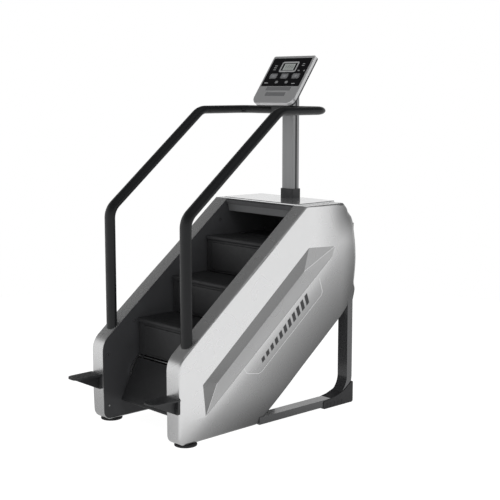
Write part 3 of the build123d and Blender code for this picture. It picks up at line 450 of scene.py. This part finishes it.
def make_shell(side):
    rim = resample([p for p in rounded_polygon(OUTLINE, 10)], 0.012)
    rim = [p for i, p in enumerate(rim) if (p - rim[i - 1]).length > 1e-5]
    count = len(rim)
    inward = []
    for i in range(count):
        way = (rim[(i + 1) % count] - rim[i - 1]).normalized()
        inward.append(Vector((-way.y, way.x)))
    bm = bmesh.new()
    # Per-corner amount of painted shade on the skin, read by the silver paint.
    painted_shade = bm.loops.layers.float.new("painted_shade")

    def vertex(y, z, x):
        return bm.verts.new((side * x, y, z))

    def band(lower, upper, share=0.0):
        for i in range(count):
            j = (i + 1) % count
            face = bm.faces.new((lower[i], lower[j], upper[j], upper[i]))
            for loop in face.loops:
                y, z = loop.vert.co.y, loop.vert.co.z
                # Painted shade on the rounded rim: slightly darker where it faces the front, much darker
                # where it faces the back, blending into the side's painted shade.
                rim_grey = FULL_GREY - (FULL_GREY - FRONT_RIM_GREY) * ease(0.6, 0.9, inward[i].x)
                rim_grey -= BACK_RIM_FADE * ease(0.3, 0.8, -inward[i].x)
                grey = rim_grey + (panel_grey(y, z, None) - rim_grey) * share
                loop[painted_shade] = painted_shade_amount(grey)

    inner = [vertex(p.x + n.x * 0.003, p.y + n.y * 0.003, SHELL_IN) for p, n in zip(rim, inward)]
    lip = [vertex(p.x, p.y, SHELL_IN) for p in rim]
    back_lip = [vertex(p.x + n.x * 0.003, p.y + n.y * 0.003, SHELL_IN + 0.020)
                for p, n in zip(rim, inward)]
    band(back_lip, inner)
    band(inner, lip)
    rings = [lip]
    radii = [edge_radius(p.x, p.y) for p in rim]
    drops = [side_drop(p.x, p.y) for p in rim]
    steps = 7
    for k in range(steps + 1):
        turn = pi / 2 * k / steps
        ring = []
        for p, n, r, d in zip(rim, inward, radii, drops):
            q = p + n * (r * (1 - cos(turn)))
            lean = side_drop(q.x, q.y) if k == steps else d
            ring.append(vertex(q.x, q.y, SHELL_OUT - lean - r + r * sin(turn)))
        band(rings[-1], ring, max(0.0, (k - 1) / (steps - 1)))
        rings.append(ring)

    border = [Vector((v.co.y, v.co.z)) for v in rings[-1]]
    points, edges = list(border), [(i, (i + 1) % count) for i in range(count)]
    corner = {}
    for key, (y, z, _) in SCOOP.items():
        corner[key] = len(points)
        points.append(Vector((y, z)))
    lines = set()
    for face in SCOOP_FACES:
        for i in range(3):
            lines.add(tuple(sorted((face[i], face[(i + 1) % 3]))))
    for a, b in sorted(lines):
        start, end = Vector(SCOOP[a][:2]), Vector(SCOOP[b][:2])
        parts = max(1, round((end - start).length / 0.012))
        previous = corner[a]
        for k in range(1, parts):
            points.append(start.lerp(end, k / parts))
            edges.append((previous, len(points) - 1))
            previous = len(points) - 1
        edges.append((previous, corner[b]))
    fixed = list(points)
    pitch = 0.014
    row, z = 0, SOLE
    while z < TOP:
        y = FRONT + (pitch / 2 if row % 2 else 0)
        while y < 0.78:
            here = Vector((y, z))
            if inside(here, border) and min((here - p).length_squared for p in fixed) > (0.7 * pitch) ** 2:
                points.append(here)
            y += pitch
        z += pitch * 0.866
        row += 1
    out, _, faces, originals, _, _ = delaunay_2d_cdt(points, edges, [], 1, 1e-7)
    verts = []
    for k, p in enumerate(out):
        known = [o for o in originals[k] if o < count]
        if known:
            verts.append(rings[-1][known[0]])
        else:
            verts.append(vertex(p.x, p.y, SHELL_OUT - side_drop(p.x, p.y) - scoop_depth(p.x, p.y)))
    for indices in faces:
        corners = [verts[i] for i in indices]
        if len(set(corners)) == len(corners):
            face = bm.faces.new(corners)
            # Painted shade over the flat of the side and the faces of the scoop.
            centre = sum((out[i] for i in indices), Vector((0, 0))) / len(indices)
            pressed = scoop_place(*centre)[0]
            for loop in face.loops:
                loop[painted_shade] = painted_shade_amount(panel_grey(loop.vert.co.y, loop.vert.co.z, pressed))
    for a, b in ("BE", "FC", "GC"):  # the bright rounded ridges of the scoop
        path = []
        for k in range(25):
            p = Vector(SCOOP[a][:2]).lerp(Vector(SCOOP[b][:2]), k / 24)
            depth = SCOOP[a][2] + (SCOOP[b][2] - SCOOP[a][2]) * k / 24
            path.append(Vector((side * (SHELL_OUT - side_drop(*p) - depth - 0.0006), *p)))
        sweep(bm, path, Vector((0, 0, 1)), 0.0024, 0.0014, 12)
    name = "right" if side > 0 else "left"
    return finish_piece(bm, f"shell_skin_{name}", "machine", SILVER,
                        [f"shell_{name}"], smooth_angle=14.0)


for side in (1, -1):
    make_shell(side)


# ---------------------------------------------------------------- frame pieces outside the shells

def mirrored(side, place):
    """The same placing with x mirrored on the left-hand side."""
    return lambda u, v, w: Vector((side * place(u, v, w).x, place(u, v, w).y, place(u, v, w).z))


def make_leg(side, name):
    low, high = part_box(f"rear_leg_{name}")
    inner, outer = sorted((abs(low.x), abs(high.x)))
    tube, bend = 0.041, 0.110
    outline = rounded_polygon([
        (low.y, low.z, 0), (high.y, low.z, bend + tube), (high.y, high.z, 0),
        (high.y - tube, high.z, 0), (high.y - tube, low.z + tube, bend), (low.y, low.z + tube, 0),
    ], 18)
    bm = bmesh.new()
    prism(bm, outline, mirrored(side, side_place), inner, outer)
    bevelled(bm, 0.005, 3, 40)
    finish_piece(bm, f"leg_{name}", "machine", LEG, [f"rear_leg_{name}"])


def make_cap(side, name):
    low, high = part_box(f"foot_cap_{name}")
    inner, outer = sorted((abs(low.x), abs(high.x)))
    back = high.y
    curve = [Vector((back - 0.012, high.z)), Vector((back - 0.040, 0.103)), Vector((back - 0.070, 0.084)),
             Vector((back - 0.096, 0.074)), Vector((back - 0.140, 0.060)), Vector((low.y + 0.030, 0.048)),
             Vector((low.y + 0.006, 0.046)), Vector((low.y, 0.038))]
    outline = [Vector((back, 0.010)), Vector((back, high.z - 0.004)), Vector((back - 0.004, high.z))]
    outline += curve + [Vector((low.y, 0.006)), Vector((low.y + 0.006, 0.0)), Vector((back - 0.010, 0.0)),
                        Vector((back - 0.003, 0.003))]
    bm = bmesh.new()
    prism(bm, outline, mirrored(side, side_place), inner, outer)
    bevelled(bm, 0.0025, 2, 35)
    for k in range(5):
        y = low.y + 0.030 + 0.030 * k
        rib = rounded_polygon([(y, 0.006, 0.002), (y + 0.010, 0.006, 0.002),
                               (y + 0.010, 0.030, 0.002), (y, 0.030, 0.002)], 3)
        prism(bm, rib, mirrored(side, side_place), outer - 0.001, outer + 0.0012)
    finish_piece(bm, f"cap_{name}", "machine", RUBBER, [f"foot_cap_{name}"])


def lathe(bm, centre, profile, count=64):
    """Turn an (r, z) profile round a vertical axis into a closed surface."""
    rings = []
    for r, z in profile:
        rings.append([bm.verts.new((centre.x + r * cos(2 * pi * k / count),
                                    centre.y + r * sin(2 * pi * k / count), z)) for k in range(count)])
    for a, b in zip(rings, rings[1:]):
        for k in range(count):
            j = (k + 1) % count
            bm.faces.new((a[k], a[j], b[j], b[k]))
    bm.faces.new(rings[0][::-1])
    bm.faces.new(rings[-1])


def make_foot(name):
    low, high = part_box(f"front_foot_{name}")
    centre = (low + high) / 2
    radius = (high.x - low.x) / 2
    bm = bmesh.new()
    lathe(bm, centre, [(radius - 0.004, 0.0), (radius - 0.001, 0.0012), (radius, 0.004), (radius, 0.008),
                       (radius - 0.002, 0.0115), (radius - 0.008, 0.013), (0.011, 0.013),
                       (0.010, 0.014), (0.010, high.z)])
    finish_piece(bm, f"foot_pad_{name}", "machine", RUBBER, [f"front_foot_{name}"])


def make_entry(side, name):
    low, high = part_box(f"entry_step_{name}")
    inner, outer = sorted((abs(low.x), abs(high.x)))
    tip, root, top = low.y, high.y, high.z
    place = mirrored(side, up_place)
    bm = bmesh.new()
    plate = rounded_polygon([(inner, root, 0), (inner + 0.004, tip, 0.040), (outer - 0.004, tip, 0.040),
                             (outer, root, 0)], 10)
    prism(bm, plate, place, top - 0.012, top - 0.003)
    rim = rounded_polygon([(inner + 0.005, root, 0), (inner + 0.009, tip + 0.005, 0.035),
                           (outer - 0.009, tip + 0.005, 0.035), (outer - 0.005, root, 0)], 10)
    prism(bm, rim, place, top - 0.0032, top - 0.0018)
    for k in range(9):
        y = tip + 0.022 + 0.0155 * k
        inset = 0.030 if k == 0 else 0.018 if k == 1 else 0.013
        rib = rounded_polygon([(inner + inset, y, 0.002), (outer - inset, y, 0.002),
                               (outer - inset, y + 0.006, 0.002), (inner + inset, y + 0.006, 0.002)], 3)
        prism(bm, rib, place, top - 0.002, top)
    web = [(root - 0.010, low.z + 0.004), (root - 0.014, low.z), (tip + 0.030, top - 0.022),
           (tip + 0.020, top - 0.0118), (root - 0.010, top - 0.0118)]
    prism(bm, [Vector(p) for p in web], mirrored(side, side_place), inner + 0.026, outer - 0.026)
    flange = rounded_polygon([(inner + 0.004, low.z, 0.008), (outer - 0.004, low.z, 0.008),
                              (outer - 0.004, top - 0.0118, 0), (inner + 0.004, top - 0.0118, 0)], 5)
    prism(bm, flange, mirrored(side, lambda u, v, w: Vector((u, w, v))), root - 0.014, root)
    for x in (inner + 0.018, outer - 0.018):
        bolt = [(x + 0.006 * cos(2 * pi * k / 24), low.z + 0.030 + 0.006 * sin(2 * pi * k / 24))
                for k in range(24)]
        prism(bm, bolt, mirrored(side, lambda u, v, w: Vector((u, w, v))), root - 0.018, root - 0.0139)
    bevelled(bm, 0.0012, 2, 50)
    finish_piece(bm, f"entry_pedal_{name}", "machine", TRIM, [f"entry_step_{name}"])


# ---------------------------------------------------------------- handrails

RAIL_LOW = Vector((0.3245, -0.502, 0.470))
RAIL_KNEE = Vector((0.3245, -0.502, 1.170))
RAIL_HIGH = Vector((0.3245, 0.151, 1.702))
RAIL_CORNER = Vector((0.3245, 0.492, 1.702))
RAIL_END = Vector((0.001, 0.492, 1.702))


def make_rail(side, name):
    corners = [Vector((side * p.x, p.y, p.z)) for p in (RAIL_LOW, RAIL_KNEE, RAIL_HIGH, RAIL_CORNER,
                                                        RAIL_END)]
    path = rounded_path(corners, (0.100, 0.100, 0.060))
    bm = bmesh.new()
    sweep(bm, path, Vector((1, 0, 0)), 0.0385, 0.023)
    finish_piece(bm, f"rail_{name}", "machine", RAIL, [f"handrail_{name}"])


def make_post_insert(side, name):
    """Black strip lying in the groove down the side of the post."""
    low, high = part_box("post")
    middle, half = (low.y + high.y) / 2, 0.0057
    bm = bmesh.new()
    prism(bm, [(middle - half, low.z + 0.004), (middle + half, low.z + 0.004),
               (middle + half, high.z - 0.004), (middle - half, high.z - 0.004)],
          mirrored(side, side_place), high.x - 0.0058, high.x - 0.0012)
    finish_piece(bm, f"post_insert_{name}", "machine", TRIM)


for side, name in ((1, "right"), (-1, "left")):
    make_post_insert(side, name)
    make_leg(side, name)
    make_cap(side, name)
    make_foot(name)
    make_entry(side, name)
    make_rail(side, name)


# ---------------------------------------------------------------- stair belt

RUN, RISE, COUNT = 0.250, 0.208, 8
WHEEL = 0.112
SLOPE = atan2(RISE, RUN)
UP = Vector((cos(SLOPE), sin(SLOPE)))
OUT = Vector((-UP.y, UP.x))
STRAIGHT = (COUNT * hypot(RUN, RISE) - 2 * pi * WHEEL) / 2
TANGENT = Vector((-0.355, 0.342)) - UP * 0.020
LOWER, UPPER = TANGENT - OUT * WHEEL, TANGENT - OUT * WHEEL + UP * STRAIGHT


def belt_point(travel):
    """A point of the step chain's line, as (y, z), this far up from the lower turn."""
    travel = travel % (2 * STRAIGHT + 2 * pi * WHEEL)
    if travel < STRAIGHT:
        return TANGENT + UP * travel
    if travel < STRAIGHT + pi * WHEEL:
        turn, centre, way = (travel - STRAIGHT) / WHEEL, UPPER, 1
    elif travel < 2 * STRAIGHT + pi * WHEEL:
        return UPPER - OUT * WHEEL - UP * (travel - STRAIGHT - pi * WHEEL)
    else:
        turn, centre, way = (travel - 2 * STRAIGHT - pi * WHEEL) / WHEEL, LOWER, -1
    return centre + OUT * (way * WHEEL * cos(turn)) + UP * (way * WHEEL * sin(turn))


def nose_point(pin, next_pin):
    span = (next_pin - pin).length
    way = (next_pin - pin) / span
    foot = (RUN ** 2 - RISE ** 2 + span ** 2) / (2 * span)
    return pin + way * foot + Vector((way.y, -way.x)) * sqrt(RUN ** 2 - foot ** 2)


PINS = [belt_point(0.020 + k * hypot(RUN, RISE)) for k in range(COUNT)]
NOSES = [nose_point(PINS[k], PINS[k - 1]) for k in range(COUNT)]


def step_place(start, end):
    """Map (along the step, outwards, across) to the row frame."""
    way = (end - start).normalized()
    out = Vector((way.y, -way.x))

    def place(u, v, w):
        q = start + way * u + out * v
        return Vector((w, q.x, q.y))
    return place


def make_riser(number, name, body, node, gap):
    place = step_place(NOSES[number], PINS[number - 1])
    top, bottom = gap, RISE - 0.014
    bm = bmesh.new()
    prism(bm, [Vector(p) for p in ((top, -0.008), (bottom, -0.008), (bottom, 0.0055), (top, 0.0055))],
          place, -0.262, 0.262)
    bevelled(bm, 0.003, 3, 40)
    # The raised panel: nested rounded rectangles that climb to a softly rounded face
    levels = [(0.0, 0.004), (0.001, 0.0085), (0.003, 0.0105), (0.007, 0.0117), (0.012, 0.012)]
    rings = []
    for inset, height in levels:
        half, low, high = 0.226 - inset, top + 0.008 + inset, bottom - 0.008 - inset
        ring = rounded_polygon([(low, -half, 0.024 - inset), (high, -half, 0.024 - inset),
                                (high, half, 0.024 - inset), (low, half, 0.024 - inset)], 6)
        rings.append([bm.verts.new(place(u, height, w)) for u, w in ring])
    for a, b in zip(rings, rings[1:]):
        for k in range(len(a)):
            j = (k + 1) % len(a)
            bm.faces.new((a[k], a[j], b[j], b[k]))
    bm.faces.new(rings[0][::-1])
    bm.faces.new(rings[-1])
    finish_piece(bm, name, body, STEP, [node], smooth_angle=40)


for number, name, body, node, gap in (
        (1, "riser_face_3", "stairs", "riser_3", 0.0135), (2, "riser_face_2", "stairs", "riser_2", 0.0135),
        (3, "riser_face_1", "stairs", "riser_1", 0.0135),
        (4, "riser_face_top", "upper_riser", "top_riser", 0.044),
        (0, "riser_face_bottom", "lower_riser", "bottom_riser", 0.044)):
    make_riser(number, name, body, node, gap)


# ---------------------------------------------------------------- console details

TILT = radians(35.5)
FACE_ORIGIN = Vector((0, 0.406, 1.750))
FACE_UP = Vector((0, sin(TILT), cos(TILT)))
FACE_OUT = Vector((0, -cos(TILT), sin(TILT)))


def face_place(u, v, w):
    """Map (across, up the console, out of it) to the row frame."""
    return FACE_ORIGIN + Vector((u, 0, 0)) + FACE_UP * v + FACE_OUT * w


def plate(bm, u, v, width, height, radius, low, high):
    corners = [(u - width / 2, v - height / 2, radius), (u + width / 2, v - height / 2, radius),
               (u + width / 2, v + height / 2, radius), (u - width / 2, v + height / 2, radius)]
    prism(bm, rounded_polygon(corners, 5), face_place, low, high)


def frame_plate(bm, u, v, width, height, radius, line, low, high):
    """A thin printed outline of a rounded rectangle."""
    rings = []
    for grow, level in ((0, low), (0, high), (-line, high), (-line, low)):
        w, h, r = width / 2 + grow, height / 2 + grow, max(0.0004, radius + grow)
        ring = rounded_polygon([(u - w, v - h, r), (u + w, v - h, r),
                                (u + w, v + h, r), (u - w, v + h, r)], 6)
        rings.append([bm.verts.new(face_place(a, b, level)) for a, b in ring])
    for k in range(4):
        a, b = rings[k], rings[(k + 1) % 4]
        for i in range(len(a)):
            j = (i + 1) % len(a)
            bm.faces.new((a[i], a[j], b[j], b[i]))


def make_print():
    low, high = -0.0003, 0.0001
    bm = bmesh.new()
    frame_plate(bm, 0, 0.2415, 0.136, 0.073, 0.012, 0.010, low, high)
    for u in (-0.091, 0.0, 0.091):
        frame_plate(bm, u, 0.177, 0.058, 0.034, 0.007, 0.0012, low, high)
    for u, v, width, height in ((-0.124, 0.129, 0.030, 0.006), (0.099, 0.125, 0.026, 0.005),
                                (0.092, 0.215, 0.014, 0.006), (0.137, 0.214, 0.008, 0.008),
                                (-0.110, 0.222, 0.022, 0.004), (-0.110, 0.236, 0.022, 0.004),
                                (-0.110, 0.250, 0.022, 0.004), (0.108, 0.250, 0.022, 0.004),
                                (0.108, 0.262, 0.016, 0.004)):
        plate(bm, u, v, width, height, 0.0015, low, high)
    finish_piece(bm, "overlay_print", "machine", PRINT)


def make_digits():
    """Seven-segment bars on the display, all lit, with a row of small level bars below."""
    low, high = -0.0006, -0.0003
    bm = bmesh.new()
    for u in (-0.027, -0.009, 0.009, 0.027):
        for du, dv, width, height in ((0, 0.010, 0.008, 0.0022), (0, 0, 0.008, 0.0022),
                                      (0, -0.010, 0.008, 0.0022), (-0.0052, 0.005, 0.0022, 0.0078),
                                      (0.0052, 0.005, 0.0022, 0.0078), (-0.0052, -0.005, 0.0022, 0.0078),
                                      (0.0052, -0.005, 0.0022, 0.0078)):
            plate(bm, u + du, 0.245 + dv, width, height, 0.0006, low, high)
    for k in range(12):
        plate(bm, -0.033 + 0.006 * k, 0.2265, 0.0036, 0.0035, 0.0004, low, high)
    finish_piece(bm, "display_bars", "machine", MARK)


def make_key_marks():
    """Raised bars, a plus, a triangle or a square on each key, in place of printed words."""
    for key, u, v in (("left", -0.091, 0.177), ("middle", 0.0, 0.177), ("right", 0.091, 0.177),
                      ("start", -0.040, 0.134), ("stop", 0.040, 0.134)):
        bm = bmesh.new()
        low, high = 0.0009, 0.0013
        if key == "left":
            plate(bm, u, v, 0.016, 0.003, 0.0012, low, high)
        elif key == "right":
            plate(bm, u, v, 0.016, 0.003, 0.0012, low, high)
            plate(bm, u, v + 0.0048, 0.003, 0.0064, 0.0012, low, high)
            plate(bm, u, v - 0.0048, 0.003, 0.0064, 0.0012, low, high)
        elif key == "middle":
            for k in (-1, 0, 1):
                plate(bm, u, v + 0.005 * k, 0.018, 0.002, 0.0009, low, high)
        elif key == "start":
            triangle = [(u - 0.003, v - 0.004, 0.0006), (u + 0.005, v, 0.0006),
                        (u - 0.003, v + 0.004, 0.0006)]
            prism(bm, rounded_polygon(triangle, 3), face_place, low, high)
        else:
            plate(bm, u, v, 0.007, 0.007, 0.001, low, high)
        finish_piece(bm, f"key_mark_{key}", f"{key}_key", PRINT)


def make_tray_shade_plates():
    """Darker grey plates on the floors of the console's two stepped trays: painted shade in the recessed
    trays.
    """
    bm = bmesh.new()
    plate(bm, 0, 0.090, 0.200, 0.026, 0.001, -0.0019, -0.0012)
    plate(bm, -0.004, 0.0525, 0.162, 0.027, 0.001, -0.0033, -0.0026)
    finish_piece(bm, "tray_shade_plates", "machine", SHELF)


make_print()
make_digits()
make_key_marks()
make_tray_shade_plates()


# ---------------------------------------------------------------- motor sprocket

def make_pinion():
    """The motor's shaft and toothed sprocket; the shaft runs free inside the motor's bore."""
    low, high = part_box("motor_sprocket")
    centre = (low + high) / 2
    tooth_tip = (high.z - low.z) / 2
    bore_gap, shaft = 0.0004, 0.009
    bm = bmesh.new()

    def place(u, v, w):
        return Vector((w, centre.y + u, centre.z + v))

    def wheel(radius, depth, teeth, count=180):
        turns = [2 * pi * k / count for k in range(count)]
        return [(cos(t) * (radius - depth * (0.5 + 0.5 * cos(teeth * t))),
                 sin(t) * (radius - depth * (0.5 + 0.5 * cos(teeth * t)))) for t in turns]

    prism(bm, wheel(shaft - bore_gap, 0, 1, 48), place, low.x, high.x)
    prism(bm, wheel(tooth_tip, 0.0025, 15), place, high.x - 0.012, high.x - 0.004)
    finish_piece(bm, "pinion", "motor_shaft", STEEL, ["motor_sprocket"])


make_pinion()


# ---------------------------------------------------------------- decal on the side panels

# Corners of the side label's outline. They were read off the photograph with a scratch script and rounded.
LABEL_LINE = [Vector(p) for p in ((-0.155, 0.350), (-0.133, 0.322), (-0.046, 0.307), (-0.024, 0.313),
                                  (0.439, 0.676), (0.443, 0.697), (0.417, 0.771), (0.401, 0.785))]


def make_decal(side, name):
    """A row of slanting bars that grow like steps, in place of words, and the label's raised outline."""
    start, end = Vector((-0.030, 0.368)), Vector((0.333, 0.680))
    way = (end - start).normalized()
    across = Vector((-way.y, way.x))
    bm = bmesh.new()
    count = 11
    length = (end - start).length
    for k in range(count):
        centre = start + way * (length * (k + 0.5) / count)
        half_along, half_across = 0.30 * length / count, 0.012 + 0.0016 * k
        corners = []
        for a, b in ((-1, -1), (1, -1), (1, 1), (-1, 1)):
            q = centre + way * (a * half_along + b * half_across * 0.35) + across * (b * half_across)
            corners.append(q)
        rings = []
        for lift in (-0.0003, 0.0004):
            rings.append([bm.verts.new((side * (SHELL_OUT - side_drop(q.x, q.y) + lift), q.x, q.y))
                          for q in corners])
        for i in range(4):
            j = (i + 1) % 4
            bm.faces.new((rings[0][i], rings[0][j], rings[1][j], rings[1][i]))
        bm.faces.new(rings[0][::-1])
        bm.faces.new(rings[1])
    finish_piece(bm, f"decal_{name}", "machine", MARK)
    bm = bmesh.new()
    line = [Vector((side * (SHELL_OUT - side_drop(*p)), *p)) for p in resample(LABEL_LINE, 0.02, False)]
    sweep(bm, line, Vector((0, 0, 1)), 0.0016, 0.0006, 8)
    finish_piece(bm, f"label_edge_{name}", "machine", SILVER)


for side, name in ((1, "right"), (-1, "left")):
    make_decal(side, name)


# ---------------------------------------------------------------- camera, light and stage

camera_data = bpy.data.cameras.new("camera")
camera = bpy.data.objects.new("camera", camera_data)
bpy.context.scene.collection.objects.link(camera)
camera.location = (4.642, -4.043, 1.834)
look = Vector((-0.72728, 0.67088, -0.14487))
camera.rotation_euler = look.to_track_quat("-Z", "Y").to_euler()
camera_data.sensor_width = 36.0
camera_data.lens = 80.37
camera_data.clip_end = 200.0
bpy.context.scene.camera = camera
bpy.context.scene.view_settings.view_transform = "Standard"

world = bpy.data.worlds.new("studio")
bpy.context.scene.world = world
world.use_nodes = True
tree = world.node_tree
tree.nodes.clear()
position = add_node(tree, "ShaderNodeTexCoord")
parts = add_node(tree, "ShaderNodeSeparateXYZ")
tree.links.new(position.outputs["Generated"], parts.inputs[0])
ramp = add_node(tree, "ShaderNodeValToRGB")
height = add_node(tree, "ShaderNodeMapRange")
height.inputs["From Min"].default_value = -1.0
tree.links.new(parts.outputs["Z"], height.inputs["Value"])
tree.links.new(height.outputs["Result"], ramp.inputs["Fac"])
stops = [(0.0, 0.9), (0.50, 1.0), (0.64, 1.0), (0.74, 0.12), (0.92, 0.08), (1.0, 0.5)]
while len(ramp.color_ramp.elements) < len(stops):
    ramp.color_ramp.elements.new(0.5)
for element, (place, value) in zip(ramp.color_ramp.elements, stops):
    element.position = place
    element.color = (value, value, value, 1)
studio = add_node(tree, "ShaderNodeBackground", Strength=0.85)
tree.links.new(ramp.outputs["Color"], studio.inputs["Color"])
seen = add_node(tree, "ShaderNodeBackground", Color=(1, 1, 1, 1), Strength=1.0)
path = add_node(tree, "ShaderNodeLightPath")
choose = add_node(tree, "ShaderNodeMixShader")
tree.links.new(path.outputs["Is Camera Ray"], choose.inputs["Fac"])
tree.links.new(studio.outputs[0], choose.inputs[1])
tree.links.new(seen.outputs[0], choose.inputs[2])
output = add_node(tree, "ShaderNodeOutputWorld")
tree.links.new(choose.outputs[0], output.inputs["Surface"])


def make_floor(radius):
    bm = bmesh.new()
    rings = [[bm.verts.new((r * cos(2 * pi * k / 96), r * sin(2 * pi * k / 96), 0)) for k in range(96)]
             for r in (0.5, 1.5, radius)]
    bm.faces.new(rings[0])
    for a, b in zip(rings, rings[1:]):
        for k in range(96):
            bm.faces.new((a[k], b[k], b[(k + 1) % 96], a[(k + 1) % 96]))
    mesh = bpy.data.meshes.new("floor")
    bm.to_mesh(mesh)
    bm.free()
    floor = bpy.data.objects.new("floor", mesh)
    bpy.context.scene.collection.objects.link(floor)
    material = bpy.data.materials.new("floor_white")
    material.use_nodes = True
    tree = material.node_tree
    tree.nodes.clear()
    pale = add_node(tree, "ShaderNodeBsdfDiffuse", Color=(0.35, 0.35, 0.35, 1))
    glow = add_node(tree, "ShaderNodeEmission", Color=(1, 1, 1, 1), Strength=0.97)
    both = add_node(tree, "ShaderNodeAddShader")
    tree.links.new(pale.outputs[0], both.inputs[0])
    tree.links.new(glow.outputs[0], both.inputs[1])
    # What the machine reflects is dim under its left rear and bright further out; the camera sees white
    place = add_node(tree, "ShaderNodeNewGeometry")
    length = add_node(tree, "ShaderNodeVectorMath", operation="DISTANCE")
    length.inputs[1].default_value = (-0.6, -0.1, 0.0)
    tree.links.new(place.outputs["Position"], length.inputs[0])
    fade = add_node(tree, "ShaderNodeMapRange", interpolation_type="SMOOTHSTEP")
    for key, value in (("From Min", 0.8), ("From Max", 1.55), ("To Min", 0.40), ("To Max", 0.85)):
        fade.inputs[key].default_value = value
    tree.links.new(length.outputs["Value"], fade.inputs["Value"])
    dim = add_node(tree, "ShaderNodeEmission", Color=(1, 1, 1, 1))
    tree.links.new(fade.outputs["Result"], dim.inputs["Strength"])
    path = add_node(tree, "ShaderNodeLightPath")
    choose = add_node(tree, "ShaderNodeMixShader")
    tree.links.new(path.outputs["Is Camera Ray"], choose.inputs["Fac"])
    tree.links.new(dim.outputs[0], choose.inputs[1])
    tree.links.new(both.outputs[0], choose.inputs[2])
    out = add_node(tree, "ShaderNodeOutputMaterial")
    tree.links.new(choose.outputs[0], out.inputs["Surface"])
    mesh.materials.append(material)


make_floor(4.0)


def area_light(name, place, target, size, power):
    data = bpy.data.lights.new(name, "AREA")
    data.shape = "RECTANGLE"
    data.size, data.size_y = size
    data.energy = power
    lamp = bpy.data.objects.new(name, data)
    bpy.context.scene.collection.objects.link(lamp)
    lamp.visible_glossy = False
    lamp.location = place
    lamp.rotation_euler = (Vector(target) - Vector(place)).to_track_quat("-Z", "Y").to_euler()


area_light("key", (2.5, -1.5, 4.5), (0, 0, 0.6), (3.0, 2.0), 60)
